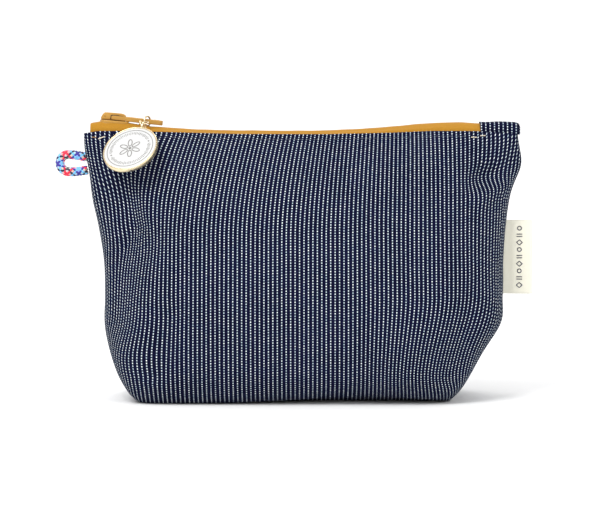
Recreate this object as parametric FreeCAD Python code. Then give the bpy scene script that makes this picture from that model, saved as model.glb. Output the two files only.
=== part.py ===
"""Zippered pouch with boxed base corners, a coil zip, a slider with a charm, a cord loop and a label.

Millimetres.  Origin: centre of the base's underside.  +X runs along the zip towards its closed end tab,
+Y to the rear, +Z up.  The zip is shut and the slider stands at the left end.
"""
import FreeCAD
import Part

import math
import os

from FreeCAD import Vector

# ---- driving dimensions ------------------------------------------------------------------------------
TOP_Z = 122.0            # height of the fabric's upper edges
FABRIC = 0.9             # outer fabric
INTERFACING = 0.8        # stiffening layer behind it
LINING = 0.5             # inner cloth
LAYER_GAP = 0.3          # air between two layers
SEAM_GAP = 0.3           # from the side seam's plane to each panel

# Outline of the shell: height, left edge, right edge, half depth, squareness of the section.
STATIONS = [
    (0.0, -71.5, 72.0, 27.5, 9.0),
    (3.0, -74.6, 75.2, 32.0, 8.0),
    (6.0, -76.8, 77.6, 34.8, 7.0),
    (10.0, -79.3, 80.2, 37.2, 6.0),
    (20.0, -83.6, 86.2, 39.7, 4.5),
    (34.0, -87.1, 94.5, 40.4, 3.6),
    (48.0, -87.0, 96.8, 39.6, 3.2),
    (64.0, -87.5, 97.2, 37.2, 2.9),
    (80.0, -90.0, 98.4, 33.2, 2.7),
    (94.0, -92.7, 100.5, 28.0, 2.6),
    (106.0, -94.5, 104.0, 21.0, 2.6),
    (115.0, -95.3, 104.3, 14.2, 3.3),
    (TOP_Z, -95.5, 103.6, 8.4, 6.0),
]
INNER_TOP_Z = 115.0      # interfacing and lining end under the zip tape
SEAM_WIDTH = 7.0         # turned-in seam allowance
STITCH_PROUD = 0.55      # from the cloth's face to the middle of a stitch

# Zip: a number 5 coil sewn in with its coil on the inside, so its tape shows.
# Height of the tape's top along the zip: it stands up at both ends and hangs in the middle.
ZIP_LINE = [
    (-93.5, 126.4),
    (-90.0, 127.1),
    (-65.0, 124.9),
    (-43.0, 123.5),
    (-15.0, 123.0),
    (15.0, 123.1),
    (40.0, 124.4),
    (62.0, 126.3),
    (76.0, 126.8),
    (85.9, 126.3),
]
TAPE = 0.6               # tape thickness
TAPE_FLAT = 3.2          # flat part of the tape beside the centre line
TAPE_BEHIND = 0.8       # from the panel's inner face to the tape's lower flange
TEETH_HEIGHT = 2.2
TEETH_REACH = 2.9        # from the centre line to the coil's outer side
TEETH_OVERLAP = 0.5      # how far a tooth crosses the centre line
TOOTH_LENGTH = 1.0
TOOTH_PITCH = 2.54
TEETH_FROM_X = -86.5
TEETH_TO_X = 85.0

# Slider, in its own frame: +X to its rear, heights from the tape's top.
SLIDER_X = -82.7         # its middle along the zip
SLIDER_TILT = 5.0        # degrees, tail down, as the tape runs there
SLIDER_LENGTH = 13.4
SLIDER_HALF_WIDTH = 4.6
CHANNEL_HALF_WIDTH = 3.8
SLIDER_ROOF = 0.35       # underside of the upper plate
SLIDER_SKIRT = -0.7      # lower edge of the upper plate's skirts
PLATE = 1.3              # thickness of each plate
BAIL_TOP = 5.2
BAIL_HALF_WIDTH = 1.5
PIN_X = -3.6
PIN_RADIUS = 0.45
PIVOT_X = -0.5
PIVOT_HEIGHT = 3.0
PIVOT_RADIUS = 0.9
CLEARANCE = 0.1

# Pull, ring, links and charm.
PULL_LENGTH = 22.9       # from the pivot to the tip
PULL_SLOPE = 6.6         # degrees below level
PULL_HALF_WIDTH = 2.9
PULL_ARM = 1.0           # width of each arm beside the bail
PULL_WINDOW = 6.2        # from the pivot to the window's far end
PULL_THICKNESS = 2.2
PULL_HOLE_RADIUS = 1.3
RING_CENTRE = Vector(-67.2, -2.65, 127.9)
RING_RADIUS = 2.2        # to the middle of the wire
RING_WIRE = 0.42
RING_TURN = 35.0         # degrees from square to the zip, seen from above
LINK_WIRE = 0.35
EYE_WIRE = 0.5
WIRE_CLEARANCE = 0.06
CHARM_CENTRE = Vector(-73.8, -20.4, 115.2)
CHARM_NORMAL = Vector(-0.268, -0.674, 0.688)
CHARM_RADIUS = 13.0
CHARM_THICKNESS = 2.6
CHARM_RIM = 0.9
CHARM_EYE_ANGLE = 56.0   # degrees from the charm's own first axis
CHARM_EYE_REACH = 14.4   # from the charm's centre to the eye's centre
CHARM_EYE_RADIUS = 1.6

# End tab, label, loop.
TAB_FROM_X = 86.3
TAB_TO_X = 104.7
TAB_TOP_Z = 127.6
TAB_HALF_WIDTH = 6.4
LABEL_TO_X = 111.2
LABEL_FROM_Z = 47.9
LABEL_TO_Z = 82.2
CORD_DIAMETER = 4.4
CORD_ROUTE = [
    (-95.4, 0.0, 105.2),
    (-100.4, 0.0, 104.3),
    (-106.1, 0.0, 104.4),
    (-108.4, 0.0, 108.5),
    (-106.3, 0.0, 112.5),
    (-100.6, 0.0, 112.3),
    (-95.6, 0.0, 111.2),
]
ARC_SHARE = 0.45         # part of the shorter run that each side of an arc takes


def save(name, shape):
    shape.exportStep("parts/" + name + ".step")
    print(name, "valid", shape.isValid(), "volume", round(shape.Volume, 2), "solids", len(shape.Solids))


# ---- shell ---------------------------------------------------------------------------------------------
def outline_at(z):
    """Left edge, right edge, half depth and squareness at a height, between the stations."""
    for low, high in zip(STATIONS, STATIONS[1:]):
        if z <= high[0]:
            share = (z - low[0]) / (high[0] - low[0])
            return [a + share * (b - a) for a, b in zip(low[1:], high[1:])]
    return list(STATIONS[-1][1:])


def half_section(z, inset, side, steps=14):
    """Points of one half of the shell's section from the right seam to the left one."""
    left, right, depth, squareness = outline_at(z)
    middle = (left + right) / 2
    half_length = (right - left) / 2 - inset
    points = []
    for step in range(steps + 1):
        angle = math.pi * step / steps
        cosine = math.cos(angle)
        reach = math.copysign(abs(cosine) ** (2 / squareness), cosine)
        out = (depth - inset) * abs(math.sin(angle)) ** (2 / squareness)
        points.append(Vector(middle + half_length * reach, side * (SEAM_GAP + out), z))
    return points


def depth_at(x, z):
    """Distance of the shell's outer face from the middle plane."""
    left, right, depth, squareness = outline_at(z)
    reach = abs(x - (left + right) / 2) / ((right - left) / 2)
    if reach >= 1:
        return SEAM_GAP
    return SEAM_GAP + depth * (1 - reach ** squareness) ** (1 / squareness)


def spline(points):
    curve = Part.BSplineCurve()
    curve.interpolate(points)
    return curve.toShape()


def layer_wire(z, inset, thickness, side):
    outer = half_section(z, inset, side)
    inner = half_section(z, inset + thickness, side)
    edges = [
        spline(outer),
        Part.makeLine(outer[-1], inner[-1]),
        spline(list(reversed(inner))),
        Part.makeLine(inner[0], outer[0]),
    ]
    return Part.Wire(edges)


def layer(inset, thickness, floor_z, top_z, side):
    """One cloth layer of one half: its wall, and its half of the base."""
    heights = [floor_z] + [row[0] for row in STATIONS if floor_z + 0.8 < row[0] < top_z - 0.8] + [top_z]
    wall = Part.makeLoft([layer_wire(z, inset, thickness, side) for z in heights], True)
    edge = half_section(floor_z, inset + thickness / 2, side)
    base_wire = Part.Wire([spline(edge), Part.makeLine(edge[-1], edge[0])])
    base = Part.Face(base_wire).extrude(Vector(0, 0, thickness))
    if base.Volume < 0:
        base.reverse()
    return wall.fuse(base).removeSplitter()


def make_shell():
    for side, name in ((-1, "front"), (1, "back")):
        inset = 0.0
        save(name + "_panel", layer(inset, FABRIC, 0.0, TOP_Z, side))
        inset += FABRIC + LAYER_GAP
        save(name + "_interfacing", layer(inset, INTERFACING, inset, INNER_TOP_Z, side))
        inset += INTERFACING + LAYER_GAP
        save(name + "_lining", layer(inset, LINING, inset, INNER_TOP_Z, side))


def make_side_seams():
    """Turned-in allowances that stand between the two halves at each end."""
    for name, column, inwards in (("left", 0, 1), ("right", 1, -1)):
        wires = []
        for z in [3.5] + [row[0] for row in STATIONS[2:]]:
            edge = outline_at(z)[column] + inwards * 1.6
            corner = edge + inwards * SEAM_WIDTH
            half = SEAM_GAP - 0.05
            ring = ((edge, -half), (corner, -half), (corner, half), (edge, half))
            points = [Vector(x, y, z) for x, y in ring]
            wires.append(Part.makePolygon(points + points[:1]))
        save("side_seam_" + name, Part.makeLoft(wires, True, True))


def make_base_seams():
    """The seam along the middle of the base and the two short seams of the boxed corners."""
    lift = FABRIC + INTERFACING + LINING + 3 * LAYER_GAP
    length = 118.0
    width = 4.5
    thickness = 1.6
    box = Part.makeBox(length, width * 2, thickness, Vector(-length / 2, -width, lift))
    save("bottom_seam", box)
    corner_length = 50.0
    for name, sign in (("left", -1), ("right", 1)):
        at_x = sign * 61.5 - 1.0
        strip = Part.makeBox(2.0, corner_length, 5.0, Vector(at_x, -corner_length / 2, lift + 0.1))
        save("corner_seam_" + name, strip)


# ---- zip -----------------------------------------------------------------------------------------------
def zip_top(x):
    """Height of the tape's top at x."""
    for low, high in zip(ZIP_LINE, ZIP_LINE[1:]):
        if x <= high[0]:
            return low[1] + (high[1] - low[1]) * (x - low[0]) / (high[0] - low[0])
    return ZIP_LINE[-1][1]


def tape_section(x, side):
    """Tape: flat over the coil, then down to the fabric's edge and down inside it."""
    top = zip_top(x)
    mouth = SLIDER_X - SLIDER_LENGTH / 2 + 4.0
    inner = 0.35 if x > mouth else 1.3
    edge = depth_at(x, TOP_Z) - FABRIC - TAPE_BEHIND
    low_z = TOP_Z - 4.5
    low = depth_at(x, low_z) - FABRIC - TAPE_BEHIND
    profile = [
        (inner, top),
        (TAPE_FLAT, top),
        (edge, TOP_Z - 0.8),
        (low, low_z),
        (low - TAPE, low_z),
        (edge - TAPE, TOP_Z - 0.8 - TAPE),
        (TAPE_FLAT - 0.25, top - TAPE),
        (inner, top - TAPE),
    ]
    points = [Vector(x, side * y, z) for y, z in profile]
    return Part.makePolygon(points + points[:1])


def make_tapes():
    mouth = SLIDER_X - SLIDER_LENGTH / 2 + 4.0
    places = sorted([row[0] for row in ZIP_LINE] + [mouth, mouth + 0.4, -80.0, 0.0])
    for side, name in ((-1, "front"), (1, "back")):
        wires = [tape_section(x, side) for x in places]
        save("zip_tape_" + name, Part.makeLoft(wires, True, True))


def make_teeth():
    count = int((TEETH_TO_X - TEETH_FROM_X) / TOOTH_PITCH)
    for side, name in ((-1, "front"), (1, "back")):
        teeth = []
        for number in range(count):
            x = TEETH_FROM_X + number * TOOTH_PITCH + (TOOTH_PITCH / 2 if side > 0 else 0)
            near = -TEETH_OVERLAP
            low_y = min(side * near, side * TEETH_REACH)
            top = min(zip_top(x), zip_top(x + TOOTH_LENGTH)) - TAPE - 0.05
            corner = Vector(x, low_y, top - TEETH_HEIGHT)
            tooth = Part.makeBox(TOOTH_LENGTH, TEETH_REACH + TEETH_OVERLAP, TEETH_HEIGHT, corner)
            along = [edge for edge in tooth.Edges if abs(edge.Vertexes[0].Y - edge.Vertexes[1].Y) > 1]
            teeth.append(tooth.makeChamfer(0.25, along))
        save("zip_teeth_" + name, Part.makeCompound(teeth))


def make_stops():
    """Two top stops in the slider's mouth, and the one bottom stop that joins the halves under the tab."""
    stop_x = ZIP_LINE[0][0] + 1.0
    for side, name in ((-1, "front"), (1, "back")):
        low_y = 1.4 if side > 0 else -2.9
        stop = Part.makeBox(1.4, 1.5, 1.6, Vector(stop_x, low_y, zip_top(stop_x) - TAPE - 1.65))
        save("top_stop_" + name, stop.makeFillet(0.3, stop.Edges))
    end_top = ZIP_LINE[-1][1]
    end = Part.makeBox(9.5, 10.2, TAPE, Vector(TAB_FROM_X + 0.3, -5.1, end_top - TAPE))
    save("zip_tape_end", end)
    stop = Part.makeBox(2.4, 6.0, 1.9, Vector(TAB_FROM_X + 1.0, -3.0, end_top - TAPE - 1.9))
    save("bottom_stop", stop.makeFillet(0.4, stop.Edges))


def make_topstitches():
    """A row of short stitches along each fabric edge."""
    row_z = TOP_Z - 2.0
    stitch = 2.2
    gap = 0.9
    for side, name in ((-1, "front"), (1, "back")):
        stitches = []
        x = -84.0
        while x < 79.0:
            near = Vector(x, side * (depth_at(x, row_z) + STITCH_PROUD), row_z)
            far = Vector(x + stitch, side * (depth_at(x + stitch, row_z) + STITCH_PROUD), row_z)
            stitches.append(Part.makeCylinder(0.19, stitch, near, far - near))
            x += stitch + gap
        save("topstitch_" + name, Part.makeCompound(stitches))


def make_bar_tacks():
    """Dense short stitches that hold the zip's ends to the front fabric."""
    threads = []
    for centre_x, slope in ((-87.0, 1), (83.4, -1), (87.5, 1)):
        for number in range(5):
            x = centre_x - 1.1 + number * 0.55
            z = TOP_Z - 0.9 - 0.12 * number * slope
            y = -depth_at(x, z) - STITCH_PROUD - 0.5
            threads.append(Part.makeCylinder(0.22, 1.1, Vector(x, y, z), Vector(0.35 * slope, -0.1, -1)))
    save("bar_tacks", Part.makeCompound(threads))


# ---- slider --------------------------------------------------------------------------------------------
def place_slider(shape):
    """From the slider's own frame to its place on the zip."""
    shape.rotate(Vector(0, 0, 0), Vector(0, 1, 0), SLIDER_TILT)
    shape.translate(Vector(SLIDER_X, 0, zip_top(SLIDER_X)))
    return shape


def pivot_point():
    return place_slider(Part.Vertex(PIVOT_X, 0, PIVOT_HEIGHT)).Point


def slider_outline(z, half_width):
    """Shield shape seen from above: wide at the mouth, narrower at the rear."""
    half = SLIDER_LENGTH / 2
    rear = half_width - 0.7
    points = [
        (-half, 0.0),
        (1.6 - half, half_width),
        (-0.7, half_width),
        (half - 1.0, rear),
        (half, rear - 0.8),
    ]
    mirrored = [(x, -y) for x, y in reversed(points[1:])]
    corners = [Vector(x, y, z) for x, y in points + mirrored]
    return Part.Face(Part.makePolygon(corners + corners[:1]))


def make_slider_body():
    """Two plates joined by a divider at the mouth; skirts hang from the upper plate beside the coil."""
    half = SLIDER_LENGTH / 2
    floor = -TAPE - TEETH_HEIGHT - 0.35
    upper = slider_outline(SLIDER_ROOF, SLIDER_HALF_WIDTH).extrude(Vector(0, 0, PLATE))
    lower = slider_outline(floor - PLATE, CHANNEL_HALF_WIDTH - 0.1).extrude(Vector(0, 0, PLATE))
    skirt = slider_outline(SLIDER_SKIRT, SLIDER_HALF_WIDTH).extrude(Vector(0, 0, SLIDER_ROOF - SLIDER_SKIRT))
    channel_at = Vector(-half - 2, -CHANNEL_HALF_WIDTH, SLIDER_SKIRT - 1)
    channel = Part.makeBox(SLIDER_LENGTH + 4, 2 * CHANNEL_HALF_WIDTH, 4, channel_at)
    divider = Part.makeBox(2.0, 1.7, SLIDER_ROOF - floor, Vector(0.7 - half, -0.85, floor))
    pin_hole = Part.makeCylinder(PIN_RADIUS + CLEARANCE, PLATE + 2, Vector(PIN_X, 0, SLIDER_ROOF - 1))
    body = upper.fuse([lower, skirt.cut(channel), divider]).cut(pin_hole).removeSplitter()
    save("slider_body", place_slider(body))


def make_slider_bail():
    """The arch over the slider; its rear eye holds the pull's crossbar."""
    foot = SLIDER_ROOF + PLATE
    outline = [
        (-6.3, foot),
        (-6.1, 2.8),
        (-4.7, BAIL_TOP),
        (3.8, BAIL_TOP),
        (5.3, 4.2),
        (5.3, foot),
    ]
    corners = [Vector(x, -BAIL_HALF_WIDTH, z) for x, z in outline]
    bail = Part.Face(Part.makePolygon(corners + corners[:1])).extrude(Vector(0, 2 * BAIL_HALF_WIDTH, 0))
    start = Vector(PIVOT_X, -BAIL_HALF_WIDTH - 1, PIVOT_HEIGHT)
    eye = Part.makeCylinder(PIVOT_RADIUS + CLEARANCE, 2 * BAIL_HALF_WIDTH + 2, start, Vector(0, 1, 0))
    pin_bore = Part.makeCylinder(PIN_RADIUS + CLEARANCE, 2.4, Vector(PIN_X, 0, foot - 0.01))
    save("slider_bail", place_slider(bail.cut(eye).cut(pin_bore)))
    pin = Part.makeCylinder(PIN_RADIUS, 3.0, Vector(PIN_X, 0, foot - PLATE + 0.1))
    save("slider_lock_pin", place_slider(pin))


def ring_forwards():
    """Level direction from the pull's hole to the ring's front."""
    turn = math.radians(RING_TURN)
    return Vector(-math.sin(turn), -math.cos(turn), 0)


def ring_axis():
    return Vector(0, 0, 1).cross(ring_forwards())


def make_pull():
    crossbar_at = Vector(0, -PULL_HALF_WIDTH, 0)
    crossbar = Part.makeCylinder(PIVOT_RADIUS, 2 * PULL_HALF_WIDTH, crossbar_at, Vector(0, 1, 0))
    arms = []
    arm_length = PULL_WINDOW + 0.4
    for low_y in (-PULL_HALF_WIDTH, PULL_HALF_WIDTH - PULL_ARM):
        arms.append(Part.makeBox(arm_length, PULL_ARM, 2 * PIVOT_RADIUS, Vector(0, low_y, -PIVOT_RADIUS)))
    plate_size = (PULL_LENGTH - PULL_WINDOW, 2 * PULL_HALF_WIDTH, PULL_THICKNESS)
    plate = Part.makeBox(*plate_size, Vector(PULL_WINDOW, -PULL_HALF_WIDTH, -PULL_THICKNESS / 2))
    upright = [edge for edge in plate.Edges if abs(edge.Vertexes[0].Z - edge.Vertexes[1].Z) > 1]
    tip = [edge for edge in upright if edge.Vertexes[0].X > PULL_LENGTH - 1]
    plate = plate.makeFillet(2.4, tip)
    faces_edges = [edge for edge in plate.Edges if abs(edge.CenterOfMass.z) > 1]
    plate = plate.makeFillet(0.4, [edge for edge in faces_edges if edge.CenterOfMass.x > PULL_WINDOW + 0.1])
    pivot = pivot_point()
    threaded = RING_CENTRE - ring_forwards() * (RING_RADIUS - 2 * CLEARANCE)
    hole_x = (threaded.x - pivot.x) / math.cos(math.radians(PULL_SLOPE))
    hole = Part.makeCylinder(PULL_HOLE_RADIUS, 6, Vector(hole_x, threaded.y, -3))
    emboss_at = Vector(PULL_LENGTH - 3.0, 0, PULL_THICKNESS / 2 - 0.25)
    emboss = Part.makeCylinder(1.1, 1, emboss_at)
    pull = crossbar.fuse(arms + [plate]).cut(hole).cut(emboss)
    pull.rotate(Vector(0, 0, 0), Vector(0, 1, 0), PULL_SLOPE)
    pull.translate(pivot)
    save("slider_pull", pull)
    print("pull turns about", pivot)


# ---- ring, links and charm -----------------------------------------------------------------------------
def unit(vector):
    return vector / vector.Length


def charm_axes():
    """The charm's own axes: the first is level with the front, the third is its face's normal."""
    normal = unit(CHARM_NORMAL)
    first = unit(Vector(0, 1, 0).cross(normal) * -1)
    if first.x < 0:
        first = first * -1
    second = normal.cross(first)
    return first, second, normal


def charm_outwards():
    """Direction from the charm's centre to its eye."""
    first, second, _ = charm_axes()
    angle = math.radians(CHARM_EYE_ANGLE)
    return first * math.cos(angle) + second * math.sin(angle)


def hanging_line():
    """Where the jump ring carries the links, the direction they hang along, and the charm's eye."""
    eye_centre = CHARM_CENTRE + charm_outwards() * CHARM_EYE_REACH
    to_eye = eye_centre - RING_CENTRE
    in_ring = to_eye - ring_axis() * to_eye.dot(ring_axis())
    joint = RING_CENTRE + unit(in_ring) * RING_RADIUS
    return joint, unit(eye_centre - joint), eye_centre


def eye_axis():
    """Axis of the charm's eye: square to the charm's radius and to the line that the links hang along."""
    _, along, _ = hanging_line()
    return unit(charm_outwards().cross(along))


def make_ring_and_links():
    save("jump_ring", Part.makeTorus(RING_RADIUS, RING_WIRE, RING_CENTRE, ring_axis()))
    joint, along, eye_centre = hanging_line()
    contact = eye_centre - along * CHARM_EYE_RADIUS
    at_ring = LINK_WIRE + RING_WIRE + WIRE_CLEARANCE
    at_eye = LINK_WIRE + EYE_WIRE + WIRE_CLEARANCE
    between = 2 * LINK_WIRE + WIRE_CLEARANCE
    radius = ((contact - joint).Length + at_ring + at_eye + between) / 4
    wire_direction = unit(ring_axis().cross(joint - RING_CENTRE))
    upper_axis = unit(wire_direction - along * wire_direction.dot(along))
    turned = eye_axis()
    if turned.dot(upper_axis) < 0:
        turned = turned * -1
    lower_axis = along.cross(unit(upper_axis + turned))
    upper_centre = joint + along * (radius - at_ring)
    lower_centre = contact - along * (radius - at_eye)
    save("link_ring_upper", Part.makeTorus(radius, LINK_WIRE, upper_centre, upper_axis))
    save("link_ring_lower", Part.makeTorus(radius, LINK_WIRE, lower_centre, lower_axis))
    print("ring turns about", RING_CENTRE, "along", ring_axis())
    print("charm turns about", joint, "along", wire_direction, "link radius", radius)


def place_on_charm(shape):
    first, second, normal = charm_axes()
    turn = FreeCAD.Rotation(first, second, normal, "ZXY")
    shape.Placement = FreeCAD.Placement(CHARM_CENTRE, turn).multiply(shape.Placement)
    return shape


def make_charm():
    half = CHARM_THICKNESS / 2
    case = Part.makeCylinder(CHARM_RADIUS, CHARM_THICKNESS, Vector(0, 0, -half))
    case = case.makeFillet(0.6, [edge for edge in case.Edges if len(edge.Vertexes) == 1])
    recess_radius = CHARM_RADIUS - CHARM_RIM
    recess = 0.8
    case = case.cut(Part.makeCylinder(recess_radius, 3, Vector(0, 0, half - recess)))
    _, _, eye_centre = hanging_line()
    eye = Part.makeTorus(CHARM_EYE_RADIUS, EYE_WIRE, eye_centre, eye_axis())
    save("charm_case", place_on_charm(case).fuse(eye))
    face = Part.makeCylinder(recess_radius - 0.05, recess - 0.25, Vector(0, 0, half - recess))
    save("charm_enamel", place_on_charm(face))
    relief = 0.12
    face_z = half - 0.25
    at_face = Vector(0, 0, face_z)
    line = Part.makeCylinder(10.4, relief, at_face).cut(Part.makeCylinder(10.15, relief, at_face))
    pieces = [line, Part.makeCylinder(1.0, relief, at_face)]
    for number in range(6):
        turn = math.radians(60 * number)
        petal = Part.makeCylinder(1.25, relief, Vector(3.2 * math.cos(turn), 3.2 * math.sin(turn), face_z))
        pieces.append(petal)
    for sign in (-1, 1):
        pieces.append(Part.makeCylinder(0.5, relief, Vector(8.4 * sign, 0, face_z)))
    save("charm_motif", place_on_charm(Part.makeCompound(pieces)))


# ---- end tab, label and cord loop ----------------------------------------------------------------------
def make_end_tab():
    """A folded strip of the outer fabric, sewn like a saddle over the zip's right end."""
    height = TAB_TOP_Z - TOP_Z - 0.1
    length = TAB_TO_X - TAB_FROM_X
    outer = Part.makeBox(length, 2 * TAB_HALF_WIDTH, height, Vector(TAB_FROM_X, -TAB_HALF_WIDTH, TOP_Z + 0.1))
    shoulder = [edge for edge in outer.Edges if edge.CenterOfMass.z > TAB_TOP_Z - 0.1]
    shoulder += [edge for edge in outer.Edges if edge.CenterOfMass.x > TAB_TO_X - 0.1]
    unique = {edge.hashCode(): edge for edge in shoulder if edge.CenterOfMass.x > TAB_FROM_X + 0.1}
    outer = outer.makeFillet(1.6, [edge for edge in unique.values() if edge.CenterOfMass.z > TOP_Z + 0.5])
    wall = 1.0
    size = (length - 2.5, 2 * (TAB_HALF_WIDTH - wall), height - wall + 1)
    hollow = Part.makeBox(*size, Vector(TAB_FROM_X - 1, wall - TAB_HALF_WIDTH, TOP_Z - 0.9))
    save("zip_end_tab", outer.cut(hollow))


def make_label():
    """A folded woven ribbon held in the right side seam."""
    seam_x = outline_at((LABEL_FROM_Z + LABEL_TO_Z) / 2)[1]
    inner_x = outline_at(LABEL_TO_Z)[1] - 1.5
    neck_x = seam_x + 2.2
    neck = SEAM_GAP - 0.04
    belly = 0.95
    ribbon_thickness = 0.55
    end = LABEL_TO_X - belly

    def line(start, finish):
        return Part.makeLine(Vector(*start, LABEL_FROM_Z), Vector(*finish, LABEL_FROM_Z))

    def fold(radius):
        points = [Vector(end, -radius, LABEL_FROM_Z), Vector(end + radius, 0, LABEL_FROM_Z)]
        return Part.Arc(*points, Vector(end, radius, LABEL_FROM_Z)).toShape()

    outline = Part.Wire([
        line((inner_x, -neck), (neck_x, -neck)),
        line((neck_x, -neck), (end, -belly)),
        fold(belly),
        line((end, belly), (neck_x, neck)),
        line((neck_x, neck), (inner_x, neck)),
        line((inner_x, neck), (inner_x, -neck)),
    ])
    hollow_x = neck_x + 2.3
    loop = belly - ribbon_thickness
    hollow = Part.Wire([line((hollow_x, 0), (end, -loop)), fold(loop), line((end, loop), (hollow_x, 0))])
    up = Vector(0, 0, LABEL_TO_Z - LABEL_FROM_Z)
    save("side_label", Part.Face(outline).extrude(up).cut(Part.Face(hollow).extrude(up)))


def rounded_route(points):
    """Straight runs joined by tangent arcs; each arc is as large as its two runs allow."""
    edges = []
    start = points[0]
    radii = []
    for before, corner, after in zip(points, points[1:], points[2:]):
        back = unit(before - corner)
        onward = unit(after - corner)
        half_turn = (math.pi - back.getAngle(onward)) / 2
        cut = ARC_SHARE * min((before - corner).Length, (after - corner).Length)
        radius = cut / math.tan(half_turn)
        radii.append(round(radius, 2))
        arc_from = corner + back * cut
        arc_to = corner + onward * cut
        inside = unit(back + onward)
        middle = corner + inside * (radius / math.cos(half_turn) - radius)
        edges.append(Part.LineSegment(start, arc_from).toShape())
        edges.append(Part.Arc(arc_from, middle, arc_to).toShape())
        start = arc_to
    edges.append(Part.LineSegment(start, points[-1]).toShape())
    print("cord arc radii", radii)
    return Part.Wire(edges)


def make_cord_loop():
    points = [Vector(*point) for point in CORD_ROUTE]
    path = rounded_route(points)
    radius = CORD_DIAMETER / 2
    section = Part.Wire(Part.makeCircle(radius, points[0], points[1] - points[0]))
    tube = path.makePipeShell([section], True, True)
    print("cord length", round(path.Length, 2), "its volume", round(math.pi * radius ** 2 * path.Length, 1))
    save("cord_loop", tube)


def main():
    os.makedirs("parts", exist_ok=True)
    make_shell()
    make_side_seams()
    make_base_seams()
    make_tapes()
    make_teeth()
    make_stops()
    make_topstitches()
    make_bar_tacks()
    make_slider_body()
    make_slider_bail()
    make_pull()
    make_ring_and_links()
    make_charm()
    make_end_tab()
    make_label()
    make_cord_loop()


main()
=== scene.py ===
"""Zippered pouch in dotted navy cloth: the looks, in the CAD's frame, in metres."""

import math

import bpy
import numpy as np
from mathutils import Matrix, Vector
from mathutils.bvhtree import BVHTree


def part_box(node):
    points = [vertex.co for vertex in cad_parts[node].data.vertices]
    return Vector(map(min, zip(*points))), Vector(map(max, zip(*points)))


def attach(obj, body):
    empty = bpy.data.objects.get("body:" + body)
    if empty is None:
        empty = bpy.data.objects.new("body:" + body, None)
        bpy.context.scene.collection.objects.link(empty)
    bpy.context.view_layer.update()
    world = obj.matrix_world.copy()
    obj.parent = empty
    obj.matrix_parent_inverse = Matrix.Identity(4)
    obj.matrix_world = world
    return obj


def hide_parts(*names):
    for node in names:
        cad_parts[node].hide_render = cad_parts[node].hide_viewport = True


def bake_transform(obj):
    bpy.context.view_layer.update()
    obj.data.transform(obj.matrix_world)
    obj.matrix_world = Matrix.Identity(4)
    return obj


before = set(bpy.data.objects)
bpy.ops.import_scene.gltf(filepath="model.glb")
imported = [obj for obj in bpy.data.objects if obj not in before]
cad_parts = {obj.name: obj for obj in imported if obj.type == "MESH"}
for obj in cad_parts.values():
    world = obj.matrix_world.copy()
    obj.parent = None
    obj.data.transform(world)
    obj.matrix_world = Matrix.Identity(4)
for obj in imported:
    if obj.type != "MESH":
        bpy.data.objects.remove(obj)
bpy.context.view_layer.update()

MM = 0.001
FRONT, BACK = -1, 1
SIDES = ((FRONT, "front"), (BACK, "back"))

# ---- sizes shared with the CAD ----
# Height, left edge, right edge, half depth and squareness of the shell's sections, in millimetres.
STATIONS = np.array([
    (0.0, -71.5, 72.0, 27.5, 9.0),
    (3.0, -74.6, 75.2, 32.0, 8.0),
    (6.0, -76.8, 77.6, 34.8, 7.0),
    (10.0, -79.3, 80.2, 37.2, 6.0),
    (20.0, -83.6, 86.2, 39.7, 4.5),
    (34.0, -87.1, 94.5, 40.4, 3.6),
    (48.0, -87.0, 96.8, 39.6, 3.2),
    (64.0, -87.5, 97.2, 37.2, 2.9),
    (80.0, -90.0, 98.4, 33.2, 2.7),
    (94.0, -92.7, 100.5, 28.0, 2.6),
    (106.0, -94.5, 104.0, 21.0, 2.6),
    (115.0, -95.3, 104.3, 14.2, 3.3),
    (122.0, -95.5, 103.6, 8.4, 6.0),
])
ZIP_LINE = np.array([
    (-93.5, 126.4),
    (-90.0, 127.1),
    (-65.0, 124.9),
    (-43.0, 123.5),
    (-15.0, 123.0),
    (15.0, 123.1),
    (40.0, 124.4),
    (62.0, 126.3),
    (76.0, 126.8),
    (85.9, 126.3),
])
# How far the upper edge of the cloth stands above the CAD's level edge, along the zip.
EDGE_LINE = np.array([
    (-96.0, 0.0),
    (-90.5, 1.0),
    (-78.0, 1.1),
    (-62.0, 0.7),
    (-25.0, -0.3),
    (15.0, -0.4),
    (45.0, 0.3),
    (64.0, 1.1),
    (85.0, 1.0),
    (97.0, 0.4),
    (104.0, 0.0),
])
CORD_ROUTE = [
    (-0.0954, 0.0, 0.1052),
    (-0.1004, 0.0, 0.1043),
    (-0.1061, 0.0, 0.1044),
    (-0.1084, 0.0, 0.1085),
    (-0.1063, 0.0, 0.1125),
    (-0.1006, 0.0, 0.1123),
    (-0.0956, 0.0, 0.1112),
]
CORD_DIAMETER = 0.0044
# The rest is in millimetres; angles are in degrees where they aren't turned into radians.
TOP_Z = 122.0            # height of the cloth's upper edges
SEAM_GAP = 0.3           # half of the gap that the side seams fill
INNER_TOP_Z = 115.0
TAPE = 0.6               # thickness
SLIDER_X = -82.7
SLIDER_TILT = 5.0
SLIDER_LENGTH = 13.4
SLIDER_HALF_WIDTH = 4.6
ROOF = 0.35              # underside of the slider's upper plate, above the zip's line
PLATE = 1.3
COIL_ROOM = 2.55         # between the tape's underside and the slider's lower plate
PIVOT = (-0.5, 3.0)      # along the slider and up from the zip's line
PULL_LENGTH = 22.9
PULL_SLOPE = 6.6
PULL_HALF_WIDTH = 2.9
PULL_HALF_THICKNESS = 1.1
PULL_WINDOW = 6.2        # from the pivot to the window's far end
PULL_HOLE_RADIUS = 1.3
CLEARANCE = 0.2
RING_CENTRE = Vector((-67.2, -2.65, 127.9))
RING_TURN = math.radians(35.0)
RING_RADIUS = 2.2
RING_WIRE = 0.42
LINK_WIRE = 0.35
LINK_CLEARANCE = 0.06
CHARM_CENTRE = Vector((-73.8, -20.4, 115.2))
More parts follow.
